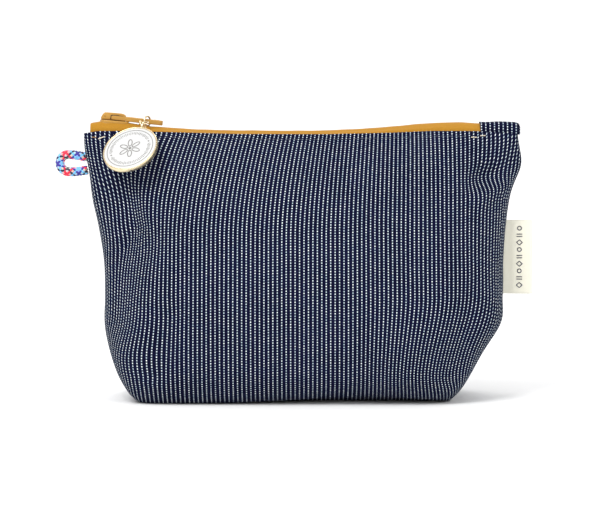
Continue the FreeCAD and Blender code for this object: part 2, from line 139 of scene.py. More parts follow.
CHARM_NORMAL = Vector((-0.268, -0.674, 0.688)).normalized()
EYE_ANGLE = math.radians(56.0)
EYE_DISTANCE = 14.4      # from the charm's middle
EYE_RADIUS = 1.6
EYE_WIRE = 0.5
STRIPE_PITCH = 2.0
DOT_PITCH = 1.26
PATTERN_X = 3.0          # the stripes are counted from the middle of each panel


def smooth(value, low, high):
    """Eases from 0 to 1 between two values."""
    t = np.clip((value - low) / (high - low), 0, 1)
    return t * t * (3 - 2 * t)


def run_along(points):
    """Distance of each point from the first one, along a line of points."""
    return np.concatenate([[0], np.cumsum(np.linalg.norm(np.diff(points, axis=0), axis=1))])


def turn_angles(steps):
    """Evenly spaced angles of one full turn."""
    return np.linspace(0, 2 * math.pi, steps + 1)[:-1]


def on_circle(radius, angle, height=0.0):
    return Vector((radius * math.cos(angle), radius * math.sin(angle), height))


def hermite(table, place):
    """Smooth row of a table at a place of its first column."""
    keys = table[:, 0]
    slopes = np.gradient(table[:, 1:], keys, axis=0)
    index = int(np.clip(np.searchsorted(keys, place) - 1, 0, len(keys) - 2))
    span = keys[index + 1] - keys[index]
    t = (place - keys[index]) / span
    here, after = table[index, 1:], table[index + 1, 1:]
    return ((2 * t ** 3 - 3 * t ** 2 + 1) * here + (t ** 3 - 2 * t ** 2 + t) * span * slopes[index]
            + (3 * t ** 2 - 2 * t ** 3) * after + (t ** 3 - t ** 2) * span * slopes[index + 1])


def zip_top(x):
    return float(hermite(ZIP_LINE, x)[0])


def edge_lift(x, z):
    """The cloth near its upper edge follows the zip's line a little."""
    return np.interp(x, EDGE_LINE[:, 0], EDGE_LINE[:, 1]) * smooth(z, 98.0, TOP_Z)


# ---- mesh helpers ----
def settle(piece, body, node):
    """Hangs a piece on the body that carries it and hides the CAD node it stands for."""
    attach(piece, body)
    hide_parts(node)


def placed(matrix, points):
    """Points given in millimetres in a part's own frame, moved to where the part is."""
    return [matrix @ (Vector(point) * MM) for point in points]


def new_object(name, vertices, faces, material, uv=None):
    mesh = bpy.data.meshes.new(name)
    mesh.from_pydata([tuple(v) for v in vertices], [], faces)
    mesh.materials.append(material)
    mesh.polygons.foreach_set("use_smooth", [True] * len(mesh.polygons))
    if uv is not None:
        layer = mesh.uv_layers.new(name="UVMap")
        loops = np.empty(len(mesh.loops), np.int32)
        mesh.loops.foreach_get("vertex_index", loops)
        layer.data.foreach_set("uv", np.asarray(uv, np.float32)[loops].ravel())
    mesh.update()
    piece = bpy.data.objects.new(name, mesh)
    bpy.context.scene.collection.objects.link(piece)
    return piece


def grid_faces(rows, columns, first=0, close_columns=False, close_rows=False, turn=False):
    """Quads between the points of a grid; turn makes them face the other way."""
    faces = []
    for i in range(rows if close_rows else rows - 1):
        for j in range(columns if close_columns else columns - 1):
            a = first + i * columns + j
            b = first + i * columns + (j + 1) % columns
            c = first + ((i + 1) % rows) * columns + (j + 1) % columns
            d = first + ((i + 1) % rows) * columns + j
            faces.append((a, d, c, b) if turn else (a, b, c, d))
    return faces


def grid_object(name, grid, material, uv, turn=False):
    """An object from a grid of points and their places on the flat cloth, both in mm."""
    grid = np.array(grid)
    rows, columns = grid.shape[:2]
    faces = grid_faces(rows, columns, turn=turn)
    return new_object(name, grid.reshape(-1, 3) * MM, faces, material, np.array(uv).reshape(-1, 2) * MM)


def bevelled(piece, width, segments=3, angle=30):
    bevel = piece.modifiers.new("bevel", "BEVEL")
    bevel.width = width
    bevel.segments = segments
    bevel.limit_method = "ANGLE"
    bevel.angle_limit = math.radians(angle)


def prism(name, outline, low, high, plane, material, bevel, matrix=None):
    """A polygon in the XY or XZ plane, extruded between low and high, with rounded edges; sizes in mm."""
    points = []
    for level in (low, high):
        for a, b in outline:
            points.append((a, b, level) if plane == "XY" else (a, level, b))
    n = len(outline)
    area = sum(a[0] * b[1] - b[0] * a[1] for a, b in zip(outline, outline[1:] + outline[:1]))
    forward = (area > 0) == (plane == "XY")
    bottom = tuple(range(n - 1, -1, -1)) if forward else tuple(range(n))
    top = tuple(range(n, 2 * n)) if forward else tuple(range(2 * n - 1, n - 1, -1))
    faces = [bottom, top]
    for i in range(n):
        j = (i + 1) % n
        faces.append((i, j, n + j, n + i) if forward else (i, n + i, n + j, j))
    piece = new_object(name, [Vector(point) * MM for point in points], faces, material)
    if matrix is not None:
        piece.data.transform(matrix)
    if bevel:
        bevelled(piece, bevel * MM)
    return piece


def tube_points(path, radius, sides, closed=False):
    """Vertices and faces of a round tube along points, with a face at each end unless it is closed."""
    path = [Vector(p) for p in path]
    count = len(path)
    vertices = []
    normal = None
    for i, point in enumerate(path):
        before = path[i - 1] if i or closed else path[i]
        after = path[(i + 1) % count] if i < count - 1 or closed else path[i]
        tangent = (after - before).normalized()
        if normal is None:
            normal = tangent.orthogonal().normalized()
        normal = (normal - tangent * normal.dot(tangent)).normalized()
        other = tangent.cross(normal)
        size = radius[i] if hasattr(radius, "__len__") else radius
        for k in range(sides):
            angle = 2 * math.pi * k / sides
            vertices.append(point + (normal * math.cos(angle) + other * math.sin(angle)) * size)
    faces = grid_faces(count, sides, close_columns=True, close_rows=closed)
    if not closed:
        faces.append(tuple(range(sides - 1, -1, -1)))
        faces.append(tuple(range((count - 1) * sides, count * sides)))
    return vertices, faces


def joined(name, parts, material):
    """One object from several lots of vertices and faces."""
    vertices, faces = [], []
    for some, more in parts:
        faces += [tuple(i + len(vertices) for i in face) for face in more]
        vertices += some
    return new_object(name, vertices, faces, material)


def many_tubes(name, paths, radius, sides, material, closed=False):
    return joined(name, [tube_points(path, radius, sides, closed) for path in paths], material)


# ---- materials ----
class Paint:
    """A node material, built with short calls."""

    def __init__(self, name, rough, metallic=0.0):
        self.material = bpy.data.materials.new(name)
        self.material.use_nodes = True
        self.tree = self.material.node_tree
        self.shader = self.tree.nodes["Principled BSDF"]
        self.shader.inputs["Roughness"].default_value = rough
        self.shader.inputs["Metallic"].default_value = metallic

    def add(self, kind, **settings):
        node = self.tree.nodes.new("ShaderNode" + kind)
        for key, value in settings.items():
            setattr(node, key, value)
        return node

    def put(self, socket, value):
        if isinstance(value, bpy.types.NodeSocket):
            self.tree.links.new(value, socket)
        else:
            socket.default_value = value

    def math(self, operation, *values):
        node = self.add("Math", operation=operation)
        for socket, value in zip(node.inputs, values):
            self.put(socket, value)
        return node.outputs[0]

    def ramp(self, value, low, high, to_low=0.0, to_high=1.0):
        node = self.add("MapRange", interpolation_type="SMOOTHSTEP")
        for socket, number in zip(node.inputs, (value, low, high, to_low, to_high)):
            self.put(socket, number)
        return node.outputs[0]

    def mix(self, share, first, second):
        node = self.add("Mix", data_type="RGBA")
        self.put(node.inputs["Factor"], share)
        for socket, colour in ((node.inputs[6], first), (node.inputs[7], second)):
            self.put(socket, colour if isinstance(colour, bpy.types.NodeSocket) else (*colour, 1.0))
        return node.outputs[2]

    def uv(self):
        parts = self.add("SeparateXYZ")
        self.put(parts.inputs[0], self.add("UVMap", uv_map="UVMap").outputs[0])
        return parts.outputs[0], parts.outputs[1]

    def place(self):
        return self.add("TexCoord").outputs["Object"]

    def axes(self):
        parts = self.add("SeparateXYZ")
        self.put(parts.inputs[0], self.place())
        return parts.outputs

    def noise(self, scale, detail=2.0, where=None):
        node = self.add("TexNoise")
        self.put(node.inputs["Vector"], self.place() if where is None else where)
        node.inputs["Scale"].default_value = scale
        node.inputs["Detail"].default_value = detail
        return node.outputs[0]

    def wave(self, value, period):
        """Sine between 0 and 1 along a length."""
        turns = self.math("MULTIPLY", value, 2 * math.pi / period)
        sine = self.math("SINE", turns)
        return self.math("MULTIPLY_ADD", sine, 0.5, 0.5)

    def bump(self, height, distance, strength=0.6):
        node = self.add("Bump")
        node.inputs["Strength"].default_value = strength
        node.inputs["Distance"].default_value = distance
        self.put(node.inputs["Height"], height)
        self.put(self.shader.inputs["Normal"], node.outputs[0])

    def colour(self, value):
        self.put(self.shader.inputs["Base Color"], value)

    def blend(self, shares, first, second):
        """Colour between two, from the sum of several (value, weight) shares."""
        total = None
        for value, weight in shares:
            part = self.math("MULTIPLY", value, weight)
            total = part if total is None else self.math("ADD", total, part)
        self.colour(self.mix(total, first, second))

    def specular(self, level):
        self.shader.inputs["Specular IOR Level"].default_value = level

    def sheen(self, weight):
        self.shader.inputs["Sheen Weight"].default_value = weight


def dotted_cloth():
    """Navy cotton with rows of small white woven dots, a lighter thread between them and fine flecks."""
    p = Paint("dotted_cloth", 0.88)
    u, v = p.uv()
    stripes = p.math("DIVIDE", u, STRIPE_PITCH * MM)
    stripe = p.math("FLOOR", p.math("ADD", stripes, 0.5))
    across = p.math("ABSOLUTE", p.math("SUBTRACT", stripes, stripe))
    phase = p.add("TexWhiteNoise", noise_dimensions="1D")
    p.put(phase.inputs["W"], stripe)
    dots = p.math("ADD", p.math("DIVIDE", v, DOT_PITCH * MM), phase.outputs["Value"])
    dot = p.math("FLOOR", dots)
    along = p.math("ABSOLUTE", p.math("SUBTRACT", p.math("SUBTRACT", dots, dot), 0.5))
    each = p.add("CombineXYZ")
    p.put(each.inputs[0], stripe)
    p.put(each.inputs[1], dot)
    jitter = p.add("TexWhiteNoise", noise_dimensions="3D")
    p.put(jitter.inputs["Vector"], each.outputs[0])
    wide = p.math("POWER", p.math("MULTIPLY", across, STRIPE_PITCH / 0.30), 2.0)
    tall = p.math("POWER", p.math("MULTIPLY", along, DOT_PITCH / 0.35), 2.0)
    spot = p.ramp(p.math("ADD", wide, tall), 0.45, 1.1, 1.0, 0.0)
    line = p.ramp(across, 0.10, 0.20, 1.0, 0.0)
    warp = p.wave(u, 0.00036)
    weft = p.wave(v, 0.00042)
    weave = p.math("MULTIPLY", warp, weft)
    fleck = p.ramp(p.noise(1400.0, 1.0), 0.52, 0.72)
    shade = p.ramp(p.noise(60.0, 3.0), 0.3, 0.7)
    navy = p.mix(shade, (0.0018, 0.0022, 0.0150), (0.0032, 0.0038, 0.021))
    navy = p.mix(p.math("MULTIPLY", fleck, 0.4), navy, (0.012, 0.020, 0.060))
    navy = p.mix(p.math("MULTIPLY", line, 0.32), navy, (0.030, 0.052, 0.125))
    white = p.mix(jitter.outputs["Value"], (0.44, 0.54, 0.62), (0.84, 0.90, 0.92))
    p.colour(p.mix(spot, navy, white))
    height = p.math("ADD", p.math("MULTIPLY", weave, 0.45), p.math("MULTIPLY", spot, 0.6))
    p.bump(height, 0.00014, 0.5)
    p.specular(0.05)
    return p.material


def plain_cloth(name, light, dark, period):
    """Plain woven cloth whose threads follow the object's own axes."""
    p = Paint(name, 0.9)
    x, y, z = p.axes()
    slant = p.math("MULTIPLY", y, 0.7)
    first = p.wave(p.math("ADD", x, slant), period)
    second = p.wave(p.math("ADD", z, slant), period)
    weave = p.math("MULTIPLY", first, second)
    fibre = p.noise(900.0, 3.0)
    cloud = p.noise(45.0, 2.0)
    p.blend(((weave, 0.45), (fibre, 0.35), (cloud, 0.2)), dark, light)
    p.bump(p.math("ADD", weave, p.math("MULTIPLY", fibre, 0.5)), 0.00012, 0.6)
    p.sheen(0.15)
    return p.material


def tape_cloth():
    """Ochre zip tape: a close herringbone along its length."""
    p = Paint("zip_tape_cloth", 0.78)
    u, v = p.uv()
    fold = p.math("PINGPONG", v, 0.0011)
    slant = p.wave(p.math("ADD", u, p.math("MULTIPLY", fold, 1.2)), 0.00062)
    cross = p.wave(v, 0.00055)
    grain = p.noise(1500.0, 3.0)
    cloud = p.noise(80.0, 2.0)
    rib = p.math("ADD", p.math("MULTIPLY", slant, 0.6), p.math("MULTIPLY", cross, 0.4))
    p.blend(((rib, 0.45), (grain, 0.4), (cloud, 0.15)), (0.30, 0.130, 0.007), (0.50, 0.245, 0.020))
    p.specular(0.2)
    p.bump(p.math("ADD", rib, p.math("MULTIPLY", grain, 0.6)), 0.00012, 0.6)
    p.sheen(0.04)
    return p.material


def coil_plastic():
    """Ochre nylon."""
    p = Paint("coil_plastic", 0.38)
    grain = p.noise(700.0, 2.0)
    p.colour(p.mix(grain, (0.30, 0.14, 0.010), (0.42, 0.21, 0.018)))
    p.bump(grain, 0.00003, 0.4)
    return p.material


def enamelled_metal():
    """Ochre paint on zinc: satin, with a light orange-peel and rubbed edges."""
    p = Paint("enamelled_metal", 0.42)
    peel = p.noise(1100.0, 2.0)
    cloud = p.noise(160.0, 3.0)
    edge = p.add("NewGeometry").outputs["Pointiness"]
    rub = p.ramp(edge, 0.505, 0.56)
    paint = p.mix(cloud, (0.36, 0.168, 0.010), (0.44, 0.215, 0.016))
    p.colour(p.mix(p.math("MULTIPLY", rub, 0.35), paint, (0.56, 0.33, 0.07)))
    p.put(p.shader.inputs["Roughness"], p.ramp(cloud, 0.3, 0.7, 0.36, 0.5))
    p.bump(peel, 0.00003, 0.35)
    p.shader.inputs["Coat Weight"].default_value = 0.25
    p.shader.inputs["Coat Roughness"].default_value = 0.25
    return p.material


def painted_shade_material():
    """Painted shade: a dark, slightly metallic colour for the slider's gaps and the lines under its skirts,
    standing in for the shadow there.
    """
    p = Paint("painted_shade_in_gaps", 0.6, 0.4)
    grain = p.noise(1500.0, 3.0)
    p.colour(p.mix(grain, (0.035, 0.018, 0.008), (0.09, 0.045, 0.015)))
    p.bump(grain, 0.00002, 0.4)
    return p.material


def plated_metal():
    """Champagne plating with fine scratches."""
    p = Paint("champagne_plating", 0.24, 1.0)
    stretched = p.add("Mapping")
    p.put(stretched.inputs["Vector"], p.place())
    stretched.inputs["Scale"].default_value = (1.0, 1.0, 9.0)
    scratch = p.noise(650.0, 4.0, where=stretched.outputs[0])
    cloud = p.noise(130.0, 2.0)
    p.colour(p.mix(cloud, (0.74, 0.58, 0.33), (0.86, 0.74, 0.52)))
    p.put(p.shader.inputs["Roughness"], p.ramp(scratch, 0.35, 0.7, 0.17, 0.36))
    p.bump(scratch, 0.00002, 0.25)
    return p.material


def white_enamel():
    """Clear-coated white enamel."""
    p = Paint("white_enamel_face", 0.3)
    cloud = p.noise(90.0, 3.0)
    speck = p.noise(1800.0, 2.0)
    p.colour(p.mix(cloud, (0.60, 0.60, 0.595), (0.65, 0.65, 0.65)))
    p.bump(speck, 0.00002, 0.3)
    p.shader.inputs["Coat Weight"].default_value = 0.6
    p.shader.inputs["Coat Roughness"].default_value = 0.12
    return p.material


def grey_print():
    """Slightly worn grey ink."""
    p = Paint("grey_print_ink", 0.5)
    wear = p.noise(2200.0, 3.0)
    p.colour(p.mix(p.ramp(wear, 0.35, 0.65), (0.16, 0.155, 0.15), (0.26, 0.25, 0.235)))
    p.bump(wear, 0.00001, 0.3)
    return p.material


def thread(name, light, dark):
    """Twisted sewing thread."""
    p = Paint(name, 0.65)
    x, _, z = p.axes()
    turn = p.math("ADD", x, p.math("MULTIPLY", z, 0.8))
    twist = p.wave(turn, 0.00035)
    fuzz = p.noise(2500.0, 2.0)
    p.colour(p.mix(p.math("MULTIPLY", twist, fuzz), dark, light))
    p.bump(twist, 0.00005, 0.6)
    p.sheen(0.2)
    return p.material


def ribbon_cloth():
    """Cream woven label: fine ribs along and across."""
    p = Paint("label_cloth", 0.7)
    u, v = p.uv()
    rib = p.wave(u, 0.00030)
    pick = p.wave(v, 0.00024)
    fibre = p.noise(1600.0, 3.0)
    cloud = p.noise(70.0, 2.0)
    weave = p.math("ADD", p.math("MULTIPLY", rib, 0.5), p.math("MULTIPLY", pick, 0.5))
    p.blend(((weave, 0.35), (fibre, 0.35), (cloud, 0.3)), (0.79, 0.765, 0.625), (0.90, 0.875, 0.76))
    p.bump(p.math("ADD", weave, p.math("MULTIPLY", fibre, 0.5)), 0.00006, 0.5)
    p.sheen(0.25)
    return p.material


def braid_cloth():
    """Braided cord: each strand has its own colour, from a colour attribute."""
    p = Paint("braid_yarn", 0.7)
    own = p.add("Attribute", attribute_name="strand").outputs["Color"]
    fuzz = p.noise(2400.0, 3.0)
    p.colour(p.mix(p.math("MULTIPLY", fuzz, 0.06), own, (0.7, 0.7, 0.75)))
    p.bump(fuzz, 0.00006, 0.6)
    p.specular(0.15)
    p.sheen(0.04)
    return p.material


def floor_paint():
    """Plain pale paper."""
    p = Paint("paper_sweep", 0.75)
    grain = p.noise(400.0, 2.0)
    p.colour(p.mix(grain, (0.90, 0.90, 0.90), (0.93, 0.93, 0.93)))
    p.specular(0.1)
    return p.material


CLOTH = dotted_cloth()
LINING = plain_cloth("lining_weave", (0.60, 0.56, 0.47), (0.38, 0.34, 0.27), 0.0005)
FLEECE = plain_cloth("interfacing_fleece", (0.80, 0.78, 0.74), (0.60, 0.58, 0.54), 0.0009)
TAPE_CLOTH = tape_cloth()
COIL = coil_plastic()
PAINTED = enamelled_metal()
PLATED = plated_metal()
PAINTED_SHADE = painted_shade_material()
ENAMEL = white_enamel()
PRINT = grey_print()
NAVY_THREAD = thread("navy_thread_twist", (0.035, 0.042, 0.11), (0.008, 0.01, 0.03))
CREAM_THREAD = thread("cream_thread_twist", (0.88, 0.83, 0.70), (0.52, 0.44, 0.33))
BROWN_THREAD = thread("brown_thread_twist", (0.45, 0.24, 0.08), (0.2, 0.1, 0.03))
RIBBON = ribbon_cloth()
BRAID = braid_cloth()


# ---- camera, light and floor ----
def make_stage():
    camera = bpy.data.objects.new("camera", bpy.data.cameras.new("camera"))
    bpy.context.scene.collection.objects.link(camera)
    bpy.context.scene.camera = camera
    camera.data.sensor_width = 36.0
    camera.data.lens = 155.6
    camera.location = (0.0032, -1.200, 0.150)
    aim = Vector((0.0032, 0.0, 0.0658))
    camera.rotation_euler = (aim - camera.location).to_track_quat("-Z", "Y").to_euler()
    camera.data.clip_start = 0.05
    camera.data.clip_end = 20.0

    half = 2.5
    rise = [(-half, 0.0), (0.9, 0.0), (1.15, 0.03), (1.35, 0.12), (1.5, 0.3), (1.55, 0.6), (1.55, 2.5)]
    vertices = [(x, y, z - 0.0002) for y, z in rise for x in (-half, half)]
    floor = new_object("floor", vertices, grid_faces(len(rise), 2), floor_paint())

    world = bpy.data.worlds.new("studio")
    bpy.context.scene.world = world
    world.use_nodes = True
    world.node_tree.nodes["Background"].inputs["Color"].default_value = (1.0, 1.0, 1.0, 1.0)
    world.node_tree.nodes["Background"].inputs["Strength"].default_value = 0.75
    bpy.context.scene.view_settings.view_transform = "Standard"

    def softbox(name, place, aim_at, size, power):
        lamp = bpy.data.lights.new(name, "AREA")
        lamp.shape = "RECTANGLE"
        lamp.size, lamp.size_y = size
        lamp.energy = power
        holder = bpy.data.objects.new(name, lamp)
        bpy.context.scene.collection.objects.link(holder)
        holder.location = place
        holder.rotation_euler = (Vector(aim_at) - Vector(place)).to_track_quat("-Z", "Y").to_euler()

    softbox("key", (-0.55, -0.75, 1.15), (0.0, 0.0, 0.05), (0.7, 0.7), 14.0)
    softbox("fill", (0.9, -0.9, 0.7), (0.0, 0.0, 0.06), (0.8, 0.8), 5.0)
    softbox("back", (0.0, 0.9, 1.3), (0.0, 0.2, 0.0), (1.6, 0.6), 9.0)


# ---- the cloth shell ----
COLUMNS = 261
SURFACE = {}             # the outer cloth's face on each side, for what lies on it


def section(z, inset, side):
    """Evenly spaced points of one half of the shell's section, from its left seam to its right one; mm."""
    left, right, depth, squareness = hermite(STATIONS, z)
    middle = (left + right) / 2
    a = (right - left) / 2 - inset
    b = depth - inset
    corner = 2 ** (-1 / squareness)
    rising = np.linspace(0, corner, 160)
    first = np.stack([a * (1 - rising ** squareness) ** (1 / squareness), b * rising], 1)
    falling = np.linspace(corner, 0, 240)[1:]
    second = np.stack([a * falling, b * (1 - falling ** squareness) ** (1 / squareness)], 1)
    quarter = np.concatenate([first, second])
    other = quarter[::-1][1:] * (-1, 1)
    curve = np.concatenate([quarter, other])[::-1]
    run = run_along(curve)
    wanted = np.linspace(0, run[-1], COLUMNS)
    x = middle + np.interp(wanted, run, curve[:, 0])
    y = SEAM_GAP + np.interp(wanted, run, curve[:, 1])
    return np.stack([x, side * y, np.full(COLUMNS, z)], 1)


def crease(x, z, route, depth, widths, fades):
    """Depth of a soft valley along a route; the first width is on the route's left, seen going along it."""
    corners = np.array(route, float)
    reach = run_along(corners)
    table = np.column_stack([reach, corners])
    route = np.array([hermite(table, distance) for distance in np.linspace(0, reach[-1], 30)])
    lengths = np.linalg.norm(np.diff(route, axis=0), axis=1)
    starts = run_along(route)
    nearest = np.full(x.shape, 1e9)
    along = np.zeros(x.shape)
    left = np.zeros(x.shape, bool)
    for (x0, z0), (x1, z1), length, start in zip(route, route[1:], lengths, starts):
        ux, uz = (x1 - x0) / length, (z1 - z0) / length
        t = np.clip((x - x0) * ux + (z - z0) * uz, 0, length)
        gap = np.hypot(x - x0 - t * ux, z - z0 - t * uz)
        closer = gap < nearest
        nearest = np.where(closer, gap, nearest)
        along = np.where(closer, start + t, along)
        left = np.where(closer, ux * (z - z0) - uz * (x - x0) > 0, left)
    share = along / starts[-1]
    width = np.where(left, widths[0], widths[1])
    taper = smooth(share, 0, fades[0]) * smooth(1 - share, 0, fades[1])
    return depth * taper * np.exp(-(nearest / width) ** 2)


def front_folds(x, z):
    """Share of the depth that the front's cloth falls in by."""
    gutter = [(-58, 96), (-64, 85), (-70, 74), (-77, 61), (-82, 48), (-84, 34), (-81, 18)]
    return sum(crease(x, z, *fold) for fold in (
        ([(-95, 108), (-86, 98), (-77, 88), (-69, 79)], 0.07, (9.0, 9.0), (0.4, 0.4)),
        (gutter, 0.26, (9.0, 9.0), (0.4, 0.25)),
        ([(-54, 52), (-56, 38), (-58, 24), (-64, 9)], 0.055, (5.0, 6.0), (0.3, 0.1)),
        ([(106, 111), (96, 106), (86, 102), (76, 98)], 0.27, (5.0, 5.0), (0.05, 0.4)),
        ([(102, 101), (90, 95), (78, 90)], -0.12, (4.5, 5.0), (0.1, 0.4)),
        ([(84, 62), (80, 40), (76, 22), (68, 6)], 0.05, (6.0, 7.0), (0.3, 0.1))))


def back_folds(x, z):
    return sum(crease(x, z, *fold) for fold in (
        ([(-92, 104), (-80, 92), (-66, 84)], 0.2, (6.0, 6.0), (0.1, 0.3)),
        ([(-62, 84), (-74, 68), (-82, 50), (-82, 30)], 0.3, (8.0, 6.0), (0.2, 0.2)),
        ([(104, 107), (90, 99), (74, 95)], 0.25, (5.0, 5.0), (0.05, 0.35)),
        ([(60, 60), (66, 38), (64, 12)], 0.05, (7.0, 6.0), (0.3, 0.1)),
        ([(-20, 96), (4, 90), (30, 93)], 0.05, (6.0, 9.0), (0.3, 0.3))))


def slow_waves(x, z, seed):
    """Quiet unevenness of hand-filled cloth, from a few sines; mm."""
    return (0.35 * np.sin(x / 17.0 + seed) * np.sin(z / 13.0 + 2 * seed)
            + 0.22 * np.sin(x / 9.1 + 1.7 * seed + z / 21.0)
            + 0.12 * np.sin(x / 4.7 + z / 6.3 + seed))


def shell_grid(side, inset, floor_z, top_z):
    """Grid of one half of a cloth layer, from the middle of the base to its top edge; mm."""
    rows = []
    edge = section(max(floor_z, 0.0), inset, side)
    for t in np.linspace(0.0, 1.0, 22)[:-1]:
        row = edge.copy()
        row[:, 1] = side * (SEAM_GAP + (np.abs(row[:, 1]) - SEAM_GAP) * t)
        rows.append(row)
    for z in np.concatenate([np.linspace(floor_z, 12, 14), np.linspace(12, top_z, 110)[1:]]):
        rows.append(section(z, inset, side))
    grid = np.array(rows)
    x, y, z = grid[..., 0], grid[..., 1], grid[..., 2]
    folds = front_folds(x, z) if side == FRONT else back_folds(x, z)
    standing = smooth(z, 0.0, 14.0) * smooth(top_z + 0.01 - z, -2.0, 9.0)
    depth = np.abs(y)
    room = smooth(depth, 2.0, 10.0)
    depth = SEAM_GAP + (depth - SEAM_GAP) * (1 - folds * standing)
    depth = depth + slow_waves(x, z, 1.3 if side == FRONT else 4.1) * standing * room
    pucker = 0.16 * np.sin(x / 2.3) + 0.12 * np.sin(x / 5.1 + 1.0)
    depth = depth + pucker * smooth(z, top_z - 9, top_z) * room * 0.8
    grid[..., 1] = side * np.maximum(depth, SEAM_GAP - 0.1)
    base = smooth(np.abs(y), 15, 30) * (1 - smooth(z, 0, 14))
    arch = 3.4 * np.exp(-((x - 33.0) / 42.0) ** 2) * base
    swell = 0.4 * np.exp(-((z - 91.0) / 8.0) ** 2) + 1.0 * smooth(z, 104.0, 116.0)
    grid[..., 0] = x - swell * smooth(-x, 74.0, 92.0)
    grid[..., 0] += 1.3 * np.exp(-((z - 109.0) / 6.5) ** 2) * smooth(x, 86.0, 103.0)
    grid[..., 0] += 1.1 * np.exp(-((z - 37.5) / 7.0) ** 2) * smooth(x, 60.0, 95.0)
    grid[..., 2] = z + arch * (1.0 if side == FRONT else 0.5) + edge_lift(x, z)
    return grid


def with_hem(grid, side):
    """Adds the turned-in top edge and the turned-in side seams."""
    top = grid[-1]
    middle = (top[0, 0] + top[-1, 0]) / 2
    half = (top[-1, 0] - top[0, 0]) / 2
    rows = [grid]
    for inwards, drop in ((0.2, -0.28), (0.55, -0.4), (0.9, -0.2), (1.0, 0.8), (1.0, 3.0), (1.0, 6.5)):
        row = top.copy()
        row[:, 0] = middle + (top[:, 0] - middle) * (1 - inwards / half)
        row[:, 1] = side * np.maximum(np.abs(top[:, 1]) - inwards, 0.15)
        row[:, 2] = top[:, 2] - drop
        rows.append(row[None])
    grid = np.concatenate(rows)
    left, right = grid[:, :1].copy(), grid[:, -1:].copy()
    pieces = [grid]
    for inwards, gap in ((0.25, 0.12), (3.0, 0.12)):
        near, far = left.copy(), right.copy()
        near[..., 0] += inwards
        far[..., 0] -= inwards
        near[..., 1] = far[..., 1] = side * gap
        pieces = [near, *pieces, far]
    return np.concatenate(pieces, axis=1)


def pattern_drift(x, z, side):
    """How far the stripes have slid to the right of true, where the cloth is pulled askew; mm."""
    pulled = np.interp(x, (-92.0, -84.0, -70.0, -55.0, 3.0, 40.0, 65.0), (0.0, 0.6, 7.0, 9.5, 6.0, 2.0, 0.0))
    drift = pulled * np.clip((z - 76.0) / 46.0, 0, 1) ** 1.8
    gutter = np.interp(z, (20.0, 46.0, 80.0, 112.0), (-86.0, -83.0, -68.0, -76.0))
    swing = smooth(z, 42.0, 80.0) * smooth(-z, -114.0, -82.0)
    drift = drift + 4.5 * swing * smooth(gutter + 4.0 - x, 0.0, 9.0) * smooth(x, -97.0, -84.0)
    narrowing = 11.5 * smooth(-z, -50.0, -8.0) - 4.0 * smooth(-z, -16.0, 2.0)
    drift = drift - narrowing * smooth(x, 25.0, 92.0)
    drift = drift - 3.2 * np.exp(-((z - 22.0) / 12.0) ** 2) * smooth(-x, 46.0, 84.0)
    return drift if side == FRONT else np.zeros_like(drift)


def cloth_uv(grid, side):
    """Real lengths across and down the cloth, counted from the panel's middle column; mm."""
    across = np.linalg.norm(np.diff(grid, axis=1), axis=2)
    run = np.concatenate([np.zeros((len(grid), 1)), np.cumsum(across, axis=1)], axis=1)
    middle = int(np.argmin(np.abs(grid[-8, :, 0] - PATTERN_X)))
    run = run - run[:, middle:middle + 1] + (grid[:, middle:middle + 1, 0] - PATTERN_X)
    down = np.linalg.norm(np.diff(grid, axis=0), axis=2)
    fall = np.concatenate([np.zeros((1, grid.shape[1])), np.cumsum(down, axis=0)])
    run = run - pattern_drift(grid[..., 0], grid[..., 2], side)
    return np.stack([run, fall], -1)


def bend_with(piece, node):
    """Hides the CAD node that the piece stands for and bakes the piece's place into its mesh."""
    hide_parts(node)
    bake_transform(piece)


def solid(piece, thickness):
    wall = piece.modifiers.new("thickness", "SOLIDIFY")
    wall.thickness = thickness * MM
    wall.offset = -1.0


def make_shell():
    for side, name in SIDES:
        for node, inset, top_z, thick, material, slot in (
                ("panel", 0.0, TOP_Z, 0.55, CLOTH, "outer_cloth"),
                ("interfacing", 1.2, INNER_TOP_Z, 0.7, FLEECE, "interfacing"),
                ("lining", 2.4, INNER_TOP_Z + 1.0, 0.3, LINING, "lining_cloth")):
            grid = shell_grid(side, inset, inset, top_z)
            if node == "panel":
                faces = grid_faces(*grid.shape[:2])
                SURFACE[side] = BVHTree.FromPolygons(grid.reshape(-1, 3).tolist(), faces)
                grid = with_hem(grid, side)
            uv = cloth_uv(grid, side)
            piece = grid_object(name + "_" + node + "_cloth", grid, material, uv, turn=side == BACK)
            solid(piece, thick)
            bend_with(piece, name + "_" + node)


# ---- zip ----
def edge_depth(x, z):
    left, right, depth, squareness = hermite(STATIONS, z)
    reach = min(abs(x - (left + right) / 2) / ((right - left) / 2), 1.0)
    return SEAM_GAP + depth * (1 - reach ** squareness) ** (1 / squareness)


